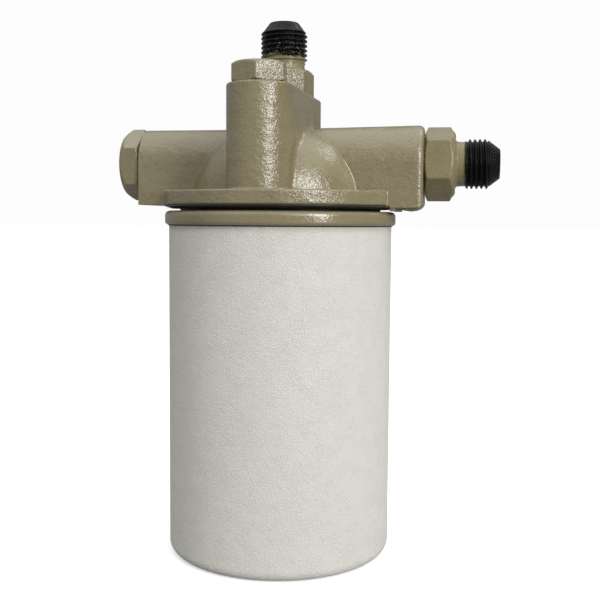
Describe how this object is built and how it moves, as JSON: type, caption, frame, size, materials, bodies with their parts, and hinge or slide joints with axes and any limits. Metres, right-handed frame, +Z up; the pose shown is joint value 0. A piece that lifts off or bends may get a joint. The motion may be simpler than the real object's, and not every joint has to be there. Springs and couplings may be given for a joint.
{
  "type": "hydraulic filter assembly",
  "caption": "Spin-on hydraulic filter: painted cast head with flared port fittings and a bypass valve, over a screw-on cylindrical filter cartridge.",
  "frame": {"origin": "centre of the can's flat bottom, on the can's axis", "axes": "+Z up along the can's axis, +X towards the open side port, -Y towards the tall boss's front column"},
  "size_m": [0.1115, 0.069, 0.1597],
  "materials": {
    "head_paint": "glossy beige-khaki paint over a cast skin",
    "fitting_paint": "the same paint on steel fittings, thread ends masked black",
    "bead_paint": "glossy beige-khaki paint on a rolled seam",
    "can_paint": "light warm grey paint with a fine crinkle",
    "seal_rubber": "black moulded rubber",
    "plated_steel": "zinc plated",
    "spring_steel": "bright drawn wire",
    "valve_brass": "turned brass",
    "filter_paper": "resin treated pleated paper"
  },
  "bodies": {
    "head": {"filter_head": "head_paint", "threaded_nipple": "plated_steel", "left_port_plug": "fitting_paint", "right_port_adapter": "fitting_paint", "top_port_adapter": "fitting_paint", "top_adapter_o_ring": "seal_rubber", "bypass_plug": "fitting_paint", "bypass_plug_o_ring": "seal_rubber", "bypass_spring": "spring_steel"},
    "bypass_valve": {"bypass_poppet": "valve_brass"},
    "gasket": {"sealing_gasket": "seal_rubber"},
    "cartridge": {"canister_shell": "can_paint", "seaming_lid": "bead_paint", "base_plate": "plated_steel", "element_grommet": "seal_rubber", "upper_end_cap": "plated_steel", "pleated_media": "filter_paper", "centre_tube": "plated_steel", "lower_end_cap": "plated_steel", "element_spring": "spring_steel"}
  },
  "joints": [
    {"name": "bypass_lift", "type": "slide", "parent": "head", "child": "bypass_valve", "axis": [0, 0, 1], "range_m": [0, 0.003], "stiffness_N_per_m": 2000, "springref_m": -0.0024, "deforming": ["bypass_spring"]},
    {"name": "cartridge_drop", "type": "slide", "parent": "head", "child": "gasket", "axis": [0, 0, -1], "range_m": [0, 0.0084]},
    {"name": "cartridge_unscrew", "type": "hinge", "parent": "gasket", "child": "cartridge", "pos_m": [0, 0, 0.1], "axis": [0, 0, -1], "range_deg": [0, 1890]}
  ],
  "couplings": [
    {"joint": "cartridge_drop", "follows": "cartridge_unscrew", "m_per_rad": 0.00025266}
  ]
}
